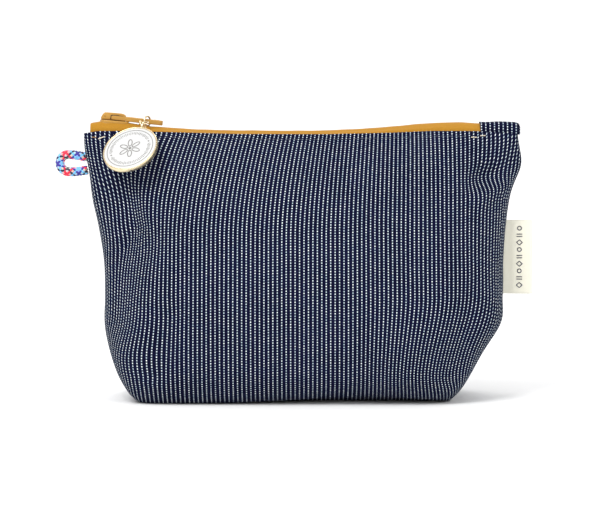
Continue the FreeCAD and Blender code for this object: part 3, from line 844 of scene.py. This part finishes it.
def make_tapes():
    places = np.linspace(-93.4, 86.2, 240)
    across = 28
    for side, name in SIDES:
        rows, uv = [], []
        for x in places:
            top = zip_top(x)
            end = smooth(np.array(-88.5 - x), 0.0, 4.5)
            inner = 0.12 + 1.2 * float(end)
            shoulder = 3.4
            edge_z = TOP_Z + float(edge_lift(x, TOP_Z))
            edge = max(edge_depth(x, TOP_Z) - 1.6, 1.9)
            low = max(edge_depth(x, TOP_Z - 5.0) - 1.9, 2.2)
            wave = 0.10 * math.sin(x / 3.1 + side) + 0.07 * math.sin(x / 1.7)
            profile = [
                (inner, top - 0.45),
                (inner + 0.05, top - 0.12),
                (inner + 0.5, top),
                (shoulder - 1.2, top + 0.02 + wave * 0.5),
                (min(shoulder, edge - 0.3), top - 0.25 + wave),
                (min(shoulder + 0.9, edge), top - 0.9 + wave),
                ((shoulder + edge) / 2 + 0.6, (top + edge_z) / 2 - 0.4 + wave),
                (edge, edge_z - 0.8),
                ((edge + low) / 2 + 0.2, edge_z - 2.8),
                (low, edge_z - 5.0),
            ]
            profile = np.array(profile)
            run = run_along(profile)
            even = np.linspace(0, run[-1], across)
            y = np.interp(even, run, profile[:, 0])
            z = np.interp(even, run, profile[:, 1])
            rows.append(np.stack([np.full(across, x), side * y, z], 1))
            uv.append(np.stack([np.full(across, x), even], 1))
        piece = grid_object("zip_tape_" + name + "_cloth", rows, TAPE_CLOTH, uv, turn=side == FRONT)
        solid(piece, 0.5)
        smoothing = piece.modifiers.new("round", "SUBSURF")
        smoothing.levels = smoothing.render_levels = 1
        bend_with(piece, "zip_tape_" + name)


def make_coils():
    pitch, turns, steps = 1.27, 134, 14
    for side, name in SIDES:
        path = []
        for i in range(turns * steps + 1):
            angle = 2 * math.pi * i / steps
            x = -86.3 + pitch * i / steps + (pitch / 2 if side == BACK else 0.0)
            y = 1.15 + 1.6 * math.cos(angle)
            z = zip_top(x) - TAPE - 1.2 + 0.72 * math.sin(angle)
            path.append(Vector((x, side * y, z)) * MM)
        piece = many_tubes("zip_coil_" + name, [path], 0.00027, 6, COIL)
        bend_with(piece, "zip_teeth_" + name)
        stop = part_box("top_stop_" + name)
        low, high = stop[0] / MM, stop[1] / MM
        corner = 0.3
        outline = [(low.x, low.z), (high.x, low.z), (high.x, high.z - corner),
                   (high.x - corner, high.z), (low.x, high.z)]
        clip = prism("top_stop_" + name + "_clip", outline, low.y, high.y, "XZ", PAINTED, 0)
        bend_with(clip, "top_stop_" + name)
        bevelled(clip, 0.25 * MM)


def on_cloth(x, z, proud, side=FRONT):
    """Point on the outer cloth at x and a height, a little proud of it; mm."""
    place, normal, _, _ = SURFACE[side].ray_cast(Vector((x, side * 90.0, z)), Vector((0, -side, 0)))
    if normal.y * side < 0:
        normal = -normal
    return place + normal * proud


def make_stitches():
    row_z = TOP_Z - 2.0
    for side, name in SIDES:
        paths = []
        x = -84.0
        while x < 79.0:
            path = []
            for t in np.linspace(0, 1, 7):
                lift = 0.12 * math.sin(math.pi * t) - 0.02
                path.append(on_cloth(x + 2.2 * t, row_z + float(edge_lift(x, TOP_Z)), lift, side) * MM)
            paths.append(path)
            x += 3.1
        piece = many_tubes("topstitch_" + name + "_thread", paths, 0.00013, 6, NAVY_THREAD)
        bend_with(piece, "topstitch_" + name)


def make_bar_tacks():
    for number, (x, z, run, slope, material) in enumerate((
            (-91.5, 120.6, 1.8, -0.2, BROWN_THREAD),
            (-88.0, 120.4, 3.0, 0.25, CREAM_THREAD),
            (82.8, 120.6, 2.4, -0.15, CREAM_THREAD),
            (86.9, 121.3, 2.2, -0.1, CREAM_THREAD))):
        paths = []
        for k in range(4):
            path = []
            for t in np.linspace(0, 1, 9):
                at_x = x + run * (t - 0.5) + 0.12 * k
                at_z = z + slope * run * (t - 0.5) + 0.16 * (k - 1.5) * math.cos(3.0 * t + k)
                path.append(on_cloth(at_x, at_z, 0.06 + 0.14 * math.sin(math.pi * t)) * MM)
            paths.append(path)
        piece = many_tubes("bar_tack_%d" % (number + 1), paths, 0.00012, 6, material)
        settle(piece, "pouch", "bar_tacks")


# ---- slider ----
def slider_matrix():
    """Where the slider stands: on the zip's line, tail down."""
    place = Vector((SLIDER_X, 0, float(np.interp(SLIDER_X, ZIP_LINE[:, 0], ZIP_LINE[:, 1])))) * MM
    return Matrix.Translation(place) @ Matrix.Rotation(math.radians(SLIDER_TILT), 4, "Y")


def shield(half_width):
    """Outline of a slider's plate from above, widest at its nose."""
    half = SLIDER_LENGTH / 2
    rear = half_width - 0.7
    side = [
        (-half, 0.0),
        (0.5 - half, half_width * 0.55),
        (1.6 - half, half_width * 0.92),
        (3.0 - half, half_width),
        (-0.7, half_width),
        (half - 2.0, rear + 0.15),
        (half - 0.8, rear),
        (half, rear - 0.8),
    ]
    return side + [(x, -y) for x, y in reversed(side[1:])]


def make_slider():
    here = slider_matrix()
    floor = -TAPE - COIL_ROOM
    half = SLIDER_LENGTH / 2
    wedge = [(x - half, y) for x, y in ((0.7, -0.5), (1.3, -0.85), (2.7, 0.0), (1.3, 0.85), (0.7, 0.5))]
    upper, lower = shield(SLIDER_HALF_WIDTH), shield(SLIDER_HALF_WIDTH - 1.0)
    pieces = [
        prism("slider_top_plate", upper, ROOF, ROOF + PLATE, "XY", PAINTED, 0.3, here),
        prism("slider_lower_plate", lower, floor - PLATE, floor, "XY", PAINTED, 0.25, here),
        prism("slider_divider", wedge, floor - 0.1, 0.4, "XY", PAINTED, 0, here),
    ]
    skirts = ((-1, "front"), (1, "rear"))

    def rim(sign):
        """The upper plate's outline on one side, from behind its tail to its nose."""
        return sorted((x, y) for x, y in upper if y * sign > 0)[1:]

    for sign, name in skirts:
        inner = [(half - 0.3, sign * 3.82), (2.2 - half, sign * 3.82)]
        outline = rim(sign) + inner
        pieces.append(prism("slider_skirt_" + name, outline, -0.7, 0.4, "XY", PAINTED, 0.12, here))
    # Thin dark tubes along the skirts' lower edges: a painted shadow line where each skirt overhangs the
    # tape.
    for sign, name in skirts:
        line = placed(here, [(x, y + sign * 0.06, -0.35) for x, y in rim(sign)])
        pieces.append(many_tubes("slider_skirt_shadow_line_" + name, [line], 0.0002, 8, PAINTED_SHADE))
    for piece in pieces:
        settle(piece, "slider", "slider_body")
    cover = [(-6.3, 1.85), (-6.2, 2.8), (-5.7, 3.9), (-5.1, 4.8), (-4.5, 5.15), (-3.0, 5.2),
             (3.0, 5.2), (4.2, 4.95), (5.0, 4.4), (5.3, 3.9), (5.3, 1.85)]
    bail = prism("slider_cover", cover, -1.5, 1.5, "XZ", PAINTED, 0.35, here)
    vertices, faces = tube_points([(-4.5, -1.45, 3.5), (-4.5, -1.61, 3.5)], [0.62, 0.5], 20)
    rivet = new_object("slider_cover_rivet", placed(here, vertices), faces, PAINTED)
    bevelled(rivet, 0.00008)
    # A thin dark sheet on the cover's side, a little larger than the pull's arm: painted shadow around the
    # arm's slot.
    slot = [(-1.9, 2.2), (-1.75, 4.0), (-1.35, 4.25), (1.6, 4.25), (5.1, 3.6), (5.1, 1.95), (1.6, 2.0)]
    slot_shadow = prism("slider_cover_slot_shadow", slot, -1.62, -1.42, "XZ", PAINTED_SHADE, 0, here)
    # A dark neck between the cover and the top plate: painted shadow in the gap under the cover.
    gap = [(-6.0, 1.5), (-6.0, 2.0), (5.0, 2.0), (5.0, 1.5)]
    neck_shadow = prism("slider_cover_neck_shadow", gap, -1.3, 1.3, "XZ", PAINTED_SHADE, 0, here)
    for piece in (bail, rivet, slot_shadow, neck_shadow):
        settle(piece, "slider", "slider_bail")


def pull_matrix():
    """Where the pull's own frame stands: at its pivot, sloping down to its tip."""
    pivot = slider_matrix() @ (Vector((PIVOT[0], 0, PIVOT[1])) * MM)
    return Matrix.Translation(pivot) @ Matrix.Rotation(math.radians(PULL_SLOPE), 4, "Y")


def rounded_box_outline(x0, x1, half, radius):
    """Outline seen from above whose far end is rounded."""
    points = [(x0, -half)]
    for start, middle in ((-math.pi / 2, radius - half), (0.0, half - radius)):
        for a in np.linspace(start, start + math.pi / 2, 7):
            points.append((x1 - radius + radius * math.cos(a), middle + radius * math.sin(a)))
    points.append((x0, half))
    return points


def make_pull():
    here = pull_matrix()
    outline = rounded_box_outline(PULL_WINDOW - 0.3, PULL_LENGTH, PULL_HALF_WIDTH, PULL_HALF_WIDTH - 0.5)
    plate = prism("pull_plate", outline, -PULL_HALF_THICKNESS, PULL_HALF_THICKNESS, "XY", PAINTED, 0, here)
    reach = RING_RADIUS - CLEARANCE
    hole_x = RING_CENTRE.x + math.sin(RING_TURN) * reach
    hole_x = (hole_x - here.translation.x / MM) / math.cos(math.radians(PULL_SLOPE))
    hole_y = RING_CENTRE.y + math.cos(RING_TURN) * reach
    vertices, faces = tube_points([(hole_x, hole_y, t) for t in (-4, 4)], PULL_HOLE_RADIUS, 32)
    drill = new_object("drill", placed(here, vertices), faces, PAINTED)
    cut = plate.modifiers.new("hole", "BOOLEAN")
    cut.operation = "DIFFERENCE"
    cut.object = drill
    bevelled(plate, 0.00032, 3, 50)
    bpy.context.view_layer.update()
    made = bpy.data.meshes.new_from_object(plate.evaluated_get(bpy.context.evaluated_depsgraph_get()))
    plate.modifiers.clear()
    plate.data = made
    bpy.data.objects.remove(drill)
    pieces = [plate]
    lower_edge = [(-0.9, -0.55), (-0.6, -0.85), (0.0, -0.9), (PULL_WINDOW, -0.95)]
    arm = lower_edge + [(x, -z) for x, z in reversed(lower_edge)]
    for sign, name in ((-1, "front"), (1, "rear")):
        low, high = sorted((sign * 1.95, sign * 2.85))
        pieces.append(prism("pull_arm_" + name, arm, low, high, "XZ", PAINTED, 0.18, here))
    bar, faces = tube_points([(0, -2.5, 0), (0, 2.5, 0)], 0.85, 24)
    pieces.append(new_object("pull_crossbar", placed(here, bar), faces, PAINTED))
    middle = Vector((PULL_LENGTH - 3.0, 0.55, PULL_HALF_THICKNESS))
    ring, faces = tube_points([middle + on_circle(1.25, a) for a in turn_angles(32)], 0.13, 8, closed=True)
    pieces.append(new_object("pull_embossed_ring", placed(here, ring), faces, PAINTED))
    for piece in pieces:
        settle(piece, "pull", "slider_pull")


# ---- ring, links and charm ----
def torus(name, centre, axis, radius, wire, material, steps=72, sides=16):
    axis = Vector(axis).normalized()
    first = axis.orthogonal().normalized()
    second = axis.cross(first)
    path = []
    for a in turn_angles(steps):
        path.append((Vector(centre) + (first * math.cos(a) + second * math.sin(a)) * radius) * MM)
    return many_tubes(name, [path], wire * MM, sides, material, closed=True)


def charm_axes():
    """The charm's own axes: level to the right on its face, up on its face, and out of it."""
    first = CHARM_NORMAL.cross(Vector((0, 1, 0))).normalized()
    if first.x < 0:
        first = -first
    return first, CHARM_NORMAL.cross(first), CHARM_NORMAL


def make_ring_and_links():
    first, second, _ = charm_axes()
    out = first * math.cos(EYE_ANGLE) + second * math.sin(EYE_ANGLE)
    eye = CHARM_CENTRE + out * EYE_DISTANCE
    to_eye = eye - RING_CENTRE
    ring_axis = Vector((math.cos(RING_TURN), -math.sin(RING_TURN), 0))
    joint = RING_CENTRE + (to_eye - ring_axis * to_eye.dot(ring_axis)).normalized() * RING_RADIUS
    along = (eye - joint).normalized()
    eye_axis = out.cross(along).normalized()
    contact = eye - along * EYE_RADIUS
    at_ring = LINK_WIRE + RING_WIRE + LINK_CLEARANCE
    at_eye = LINK_WIRE + EYE_WIRE + LINK_CLEARANCE
    between = 2 * LINK_WIRE + LINK_CLEARANCE
    radius = ((contact - joint).length + at_ring + at_eye + between) / 4
    wire = ring_axis.cross(joint - RING_CENTRE).normalized()
    upper_axis = (wire - along * wire.dot(along)).normalized()
    turned = eye_axis if eye_axis.dot(upper_axis) > 0 else -eye_axis
    lower_axis = along.cross((upper_axis + turned).normalized())
    ring = torus("jump_ring_wire", RING_CENTRE, ring_axis, RING_RADIUS, RING_WIRE, PLATED)
    settle(ring, "ring", "jump_ring")
    for name, centre, axis, node in (
            ("upper_link", joint + along * (radius - at_ring), upper_axis, "link_ring_upper"),
            ("lower_link", contact - along * (radius - at_eye), lower_axis, "link_ring_lower")):
        link = torus(name, centre, axis, radius, LINK_WIRE, PLATED)
        settle(link, "charm", node)
    loop = torus("charm_eye", eye, eye_axis, EYE_RADIUS, EYE_WIRE, PLATED)
    settle(loop, "charm", "charm_case")


def lathe(name, profile, material, steps=144):
    """Turns a profile of (radius, height) about the charm's own axis."""
    first, second, normal = charm_axes()
    turn = Matrix((first, second, normal)).transposed().to_4x4()
    here = Matrix.Translation(CHARM_CENTRE * MM) @ turn
    points = [on_circle(radius, a, height) for radius, height in profile for a in turn_angles(steps)]
    faces = grid_faces(len(profile), steps, close_columns=True)
    faces.append(tuple(range(steps - 1, -1, -1)))
    faces.append(tuple(range((len(profile) - 1) * steps, len(profile) * steps)))
    return new_object(name, placed(here, points), faces, material), here


def make_charm():
    case = [(12.2, -1.3), (12.6, -1.25), (12.85, -1.05), (12.97, -0.7), (13.0, -0.2), (13.0, 0.5),
            (12.97, 0.9), (12.88, 1.15), (12.72, 1.27), (12.55, 1.3), (12.42, 1.24), (12.36, 1.0),
            (12.35, 0.5)]
    dome = [(12.38, 0.4), (12.36, 0.95), (12.1, 1.03), (9.0, 1.08), (5.0, 1.11), (0.4, 1.12)]
    body, here = lathe("charm_body", case, PLATED)
    face, _ = lathe("charm_face", dome, ENAMEL)
    settle(body, "charm", "charm_case")
    settle(face, "charm", "charm_enamel")

    def line(points, thick, sides, closed=False):
        return tube_points(placed(here, points), thick, sides, closed)

    parts = [line([on_circle(10.9, a, 1.05) for a in turn_angles(120)], 0.00017, 6, closed=True)]
    for k, a in enumerate(turn_angles(72)):
        if abs(math.sin(a)) >= 0.12:
            ends = (8.5, 9.7) if k % 3 else (8.2, 9.9)
            parts.append(line([on_circle(r, a, 1.08) for r in ends], 0.00014, 6))
    for sign in (-1, 1):
        parts.append(line([(sign * 9.1, 0, 1.0), (sign * 9.1, 0, 1.17)], 0.00042, 16))
    for k in range(6):
        turn = Matrix.Rotation(math.radians(60 * k + 15), 4, "Z")
        petal = [turn @ Vector((3.3 + 2.0 * math.cos(t), 0.95 * math.sin(t), 1.12)) for t in turn_angles(24)]
        parts.append(line(petal, 0.00021, 6, closed=True))
    parts.append(line([(0, 0, 1.02), (0, 0, 1.22)], 0.0007, 24))
    motif = joined("charm_print", parts, PRINT)
    settle(motif, "charm", "charm_motif")


# ---- end tab, label and cord ----
def make_tab():
    """Folded strip of the outer cloth over the zip's right end."""
    low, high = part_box("zip_end_tab")
    low, high = low / MM, high / MM
    rows, uv = [], []
    over = 41
    rounding = 3.2
    straight = np.linspace(low.x, high.x - rounding, 26)
    rounded = straight[-1] + rounding * np.sin(np.linspace(0, math.pi / 2, 12)[1:])
    for x in np.concatenate([straight, rounded]):
        beyond = max(0.0, (x - straight[-1]) / rounding)
        shrink = math.sqrt(max(0.0, 1 - beyond ** 2.6))
        half = 0.3 + (high.y - 0.3) * (0.25 + 0.75 * shrink)
        top = high.z - 2.2 * (1 - shrink) + 0.12 * math.sin(x / 2.1)
        points = []
        for a in np.linspace(0, math.pi, over):
            c, s = math.cos(a), math.sin(a)
            y = -half * math.copysign(abs(c) ** 0.42, c)
            z = (low.z - 0.4) + (top - low.z + 0.4) * max(s, 0.0) ** 0.38
            points.append((x, y, z))
        points = np.array(points)
        rows.append(points)
        run = run_along(points)
        uv.append(np.stack([np.full(over, x - PATTERN_X + 0.35), run], 1))
    for closing in (0.85, 0.45, 0.04):
        rows.append(rows[-1] * (1.0, closing, 1.0) + (0.12, 0.0, 0.0))
        uv.append(uv[-1] + (0.3, 0.0))
    piece = grid_object("zip_end_tab_cloth", rows, CLOTH, uv, turn=True)
    solid(piece, 0.8)
    settle(piece, "pouch", "zip_end_tab")


def make_label():
    """Folded woven ribbon in the right seam, with a column of small woven shapes."""
    low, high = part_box("side_label")
    low, high = low / MM, high / MM
    radius = 0.95
    end = high.x - radius
    start = low.x
    line = [(start, -0.2), (start + 3.0, -0.26), (start + 5.0, -0.55), (start + 8.0, -0.8),
            (end - 2.0, -0.92), (end, -radius)]
    angles = np.linspace(-math.pi / 2, math.pi / 2, 13)[1:-1]
    fold = [(end + radius * math.cos(a), radius * math.sin(a)) for a in angles]
    profile = np.array(line + fold + [(x, -y) for x, y in reversed(line)])
    run = run_along(profile)
    around = 61
    even = np.linspace(0, run[-1], around)
    px, py = np.interp(even, run, profile[:, 0]), np.interp(even, run, profile[:, 1])
    heights = np.linspace(low.z, high.z, 41)
    rows, uv = [], []
    for z in heights:
        t = (z - low.z) / (high.z - low.z)
        reach = np.clip((px - start) / (end - start), 0, 1)
        lean = -0.35 * reach ** 2 * (1 - t) + 0.25 * reach * math.sin(3.1 * t)
        shift = 0.2 * reach * math.sin(2.4 * t)
        rows.append(np.stack([px - abs(shift), py + lean, np.full(around, z)], 1))
        uv.append(np.stack([even, np.full(around, z)], 1))
    grid = np.array(rows)
    piece = grid_object("side_label_ribbon", grid, RIBBON, uv)
    solid(piece, 0.35)
    settle(piece, "pouch", "side_label")

    def on_face(across, up):
        """Point just proud of the ribbon's front; across from the fold and up from the lower edge, mm."""
        x = high.x - across
        column = int(np.argmin(np.abs(grid[0, :around // 2 + 1, 0] - x)))
        row = int(np.argmin(np.abs(heights - (low.z + up))))
        return Vector((x, grid[row, column, 1] - 0.05, low.z + up)) * MM

    paths = []
    middle = 6.3
    for k in range(9):
        up = 4.0 + 3.3 * k
        if k % 3 == 0:
            shape = [(middle + 1.35, up), (middle, up + 1.2), (middle - 1.35, up), (middle, up - 1.2)]
            shape.append(shape[0])
        elif k % 3 == 1:
            shape = [(middle + 1.3, up - 0.55), (middle - 1.3, up - 0.55)]
            paths.append([on_face(a, b + 1.1) for a, b in shape])
        else:
            shape = [(middle + 0.9 * math.cos(a), up + 0.9 * math.sin(a)) for a in turn_angles(14)]
            shape.append(shape[0])
        dense = []
        for (a0, b0), (a1, b1) in zip(shape, shape[1:]):
            for t in np.linspace(0, 1, 5)[:-1]:
                dense.append(on_face(a0 + (a1 - a0) * t, b0 + (b1 - b0) * t))
        dense.append(on_face(*shape[-1]))
        paths.append(dense)
    marks = many_tubes("side_label_marks", paths, 0.00021, 6, NAVY_THREAD)
    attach(marks, "pouch")


def make_cord():
    """Braided loop in eight colours; its strands follow the route's own spline."""
    data = bpy.data.curves.new("cord_route", "CURVE")
    data.dimensions = "3D"
    spline = data.splines.new("NURBS")
    spline.points.add(len(CORD_ROUTE) - 1)
    for point, place in zip(spline.points, CORD_ROUTE):
        point.co = (*place, 1.0)
    spline.order_u = 3
    spline.use_endpoint_u = True
    spline.resolution_u = 24
    bare = bpy.data.objects.new("cord_route", data)
    bpy.context.scene.collection.objects.link(bare)
    bpy.context.view_layer.update()
    mesh = bpy.data.meshes.new_from_object(bare.evaluated_get(bpy.context.evaluated_depsgraph_get()))
    path = np.array([v.co for v in mesh.vertices]).reshape(-1, 3)
    bpy.data.objects.remove(bare)
    run = run_along(path)
    keep = np.concatenate([[True], np.diff(run) > 1e-7])
    run, path = run[keep], path[keep]
    count = 260
    even = np.linspace(0, run[-1], count)
    centre = np.stack([np.interp(even, run, path[:, k]) for k in range(3)], 1)
    tangent = np.gradient(centre, axis=0)
    tangent /= np.linalg.norm(tangent, axis=1)[:, None]
    side = np.array([0.0, 1.0, 0.0])
    normal = np.cross(tangent, side)
    colours = [(0.80, 0.02, 0.06), (0.87, 0.24, 0.20), (0.18, 0.55, 0.86), (0.22, 0.38, 0.90),
               (0.045, 0.027, 0.29), (0.55, 0.70, 0.55), (0.02, 0.02, 0.05), (0.62, 0.52, 0.55)]
    lay, carriers, sides = 0.0108, 8, 8
    middle = CORD_DIAMETER / 2 - 0.00042
    vertices, faces, tint = [], [], []
    for hand in (1, -1):
        for k in range(carriers):
            angle = hand * 2 * math.pi * even / lay + 2 * math.pi * (k + (0.5 if hand < 0 else 0)) / carriers
            weave = np.sin(2 * math.pi * even / lay * carriers + k * math.pi + (0 if hand > 0 else math.pi))
            radius = middle + 0.00013 * weave
            spoke = normal * np.cos(angle)[:, None] + side * np.sin(angle)[:, None]
            line = centre + spoke * radius[:, None]
            flow = np.gradient(line, axis=0)
            flow /= np.linalg.norm(flow, axis=1)[:, None]
            wide = np.cross(spoke, flow)
            first = len(vertices)
            for at, flat, up in zip(line, wide * 0.00072, spoke * 0.00026):
                vertices += [at + flat * math.cos(a) + up * math.sin(a) for a in turn_angles(sides)]
            faces += grid_faces(count, sides, first, close_columns=True)
            faces.append(tuple(range(first + sides - 1, first - 1, -1)))
            faces.append(tuple(range(first + (count - 1) * sides, first + count * sides)))
            tint += [(*colours[(k + (3 if hand < 0 else 0)) % carriers], 1.0)] * (count * sides)
    piece = new_object("cord_loop_braid", vertices, faces, BRAID)
    layer = piece.data.color_attributes.new("strand", "FLOAT_COLOR", "POINT")
    layer.data.foreach_set("color", np.array(tint, np.float32).ravel())
    core_v, core_f = tube_points([Vector(c) for c in centre[::6]], middle - 0.0001, 16)
    core = new_object("cord_loop_core", core_v, core_f, FLEECE)
    for part in (piece, core):
        settle(part, "pouch", "cord_loop")


def paint_cad_nodes():
    """Materials for the CAD's pieces that stay visible as they are."""
    seams = ("side_seam_left", "side_seam_right", "bottom_seam", "corner_seam_left", "corner_seam_right")
    for names, material in (
            (seams, LINING),
            (("zip_tape_end",), TAPE_CLOTH),
            (("bottom_stop",), PAINTED),
            (("slider_lock_pin",), PLATED)):
        for name in names:
            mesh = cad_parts[name].data
            mesh.materials.clear()
            mesh.materials.append(material)


make_stage()
make_shell()
make_tapes()
make_coils()
make_stitches()
make_bar_tacks()
make_slider()
make_pull()
make_ring_and_links()
make_charm()
make_tab()
make_label()
make_cord()
paint_cad_nodes()
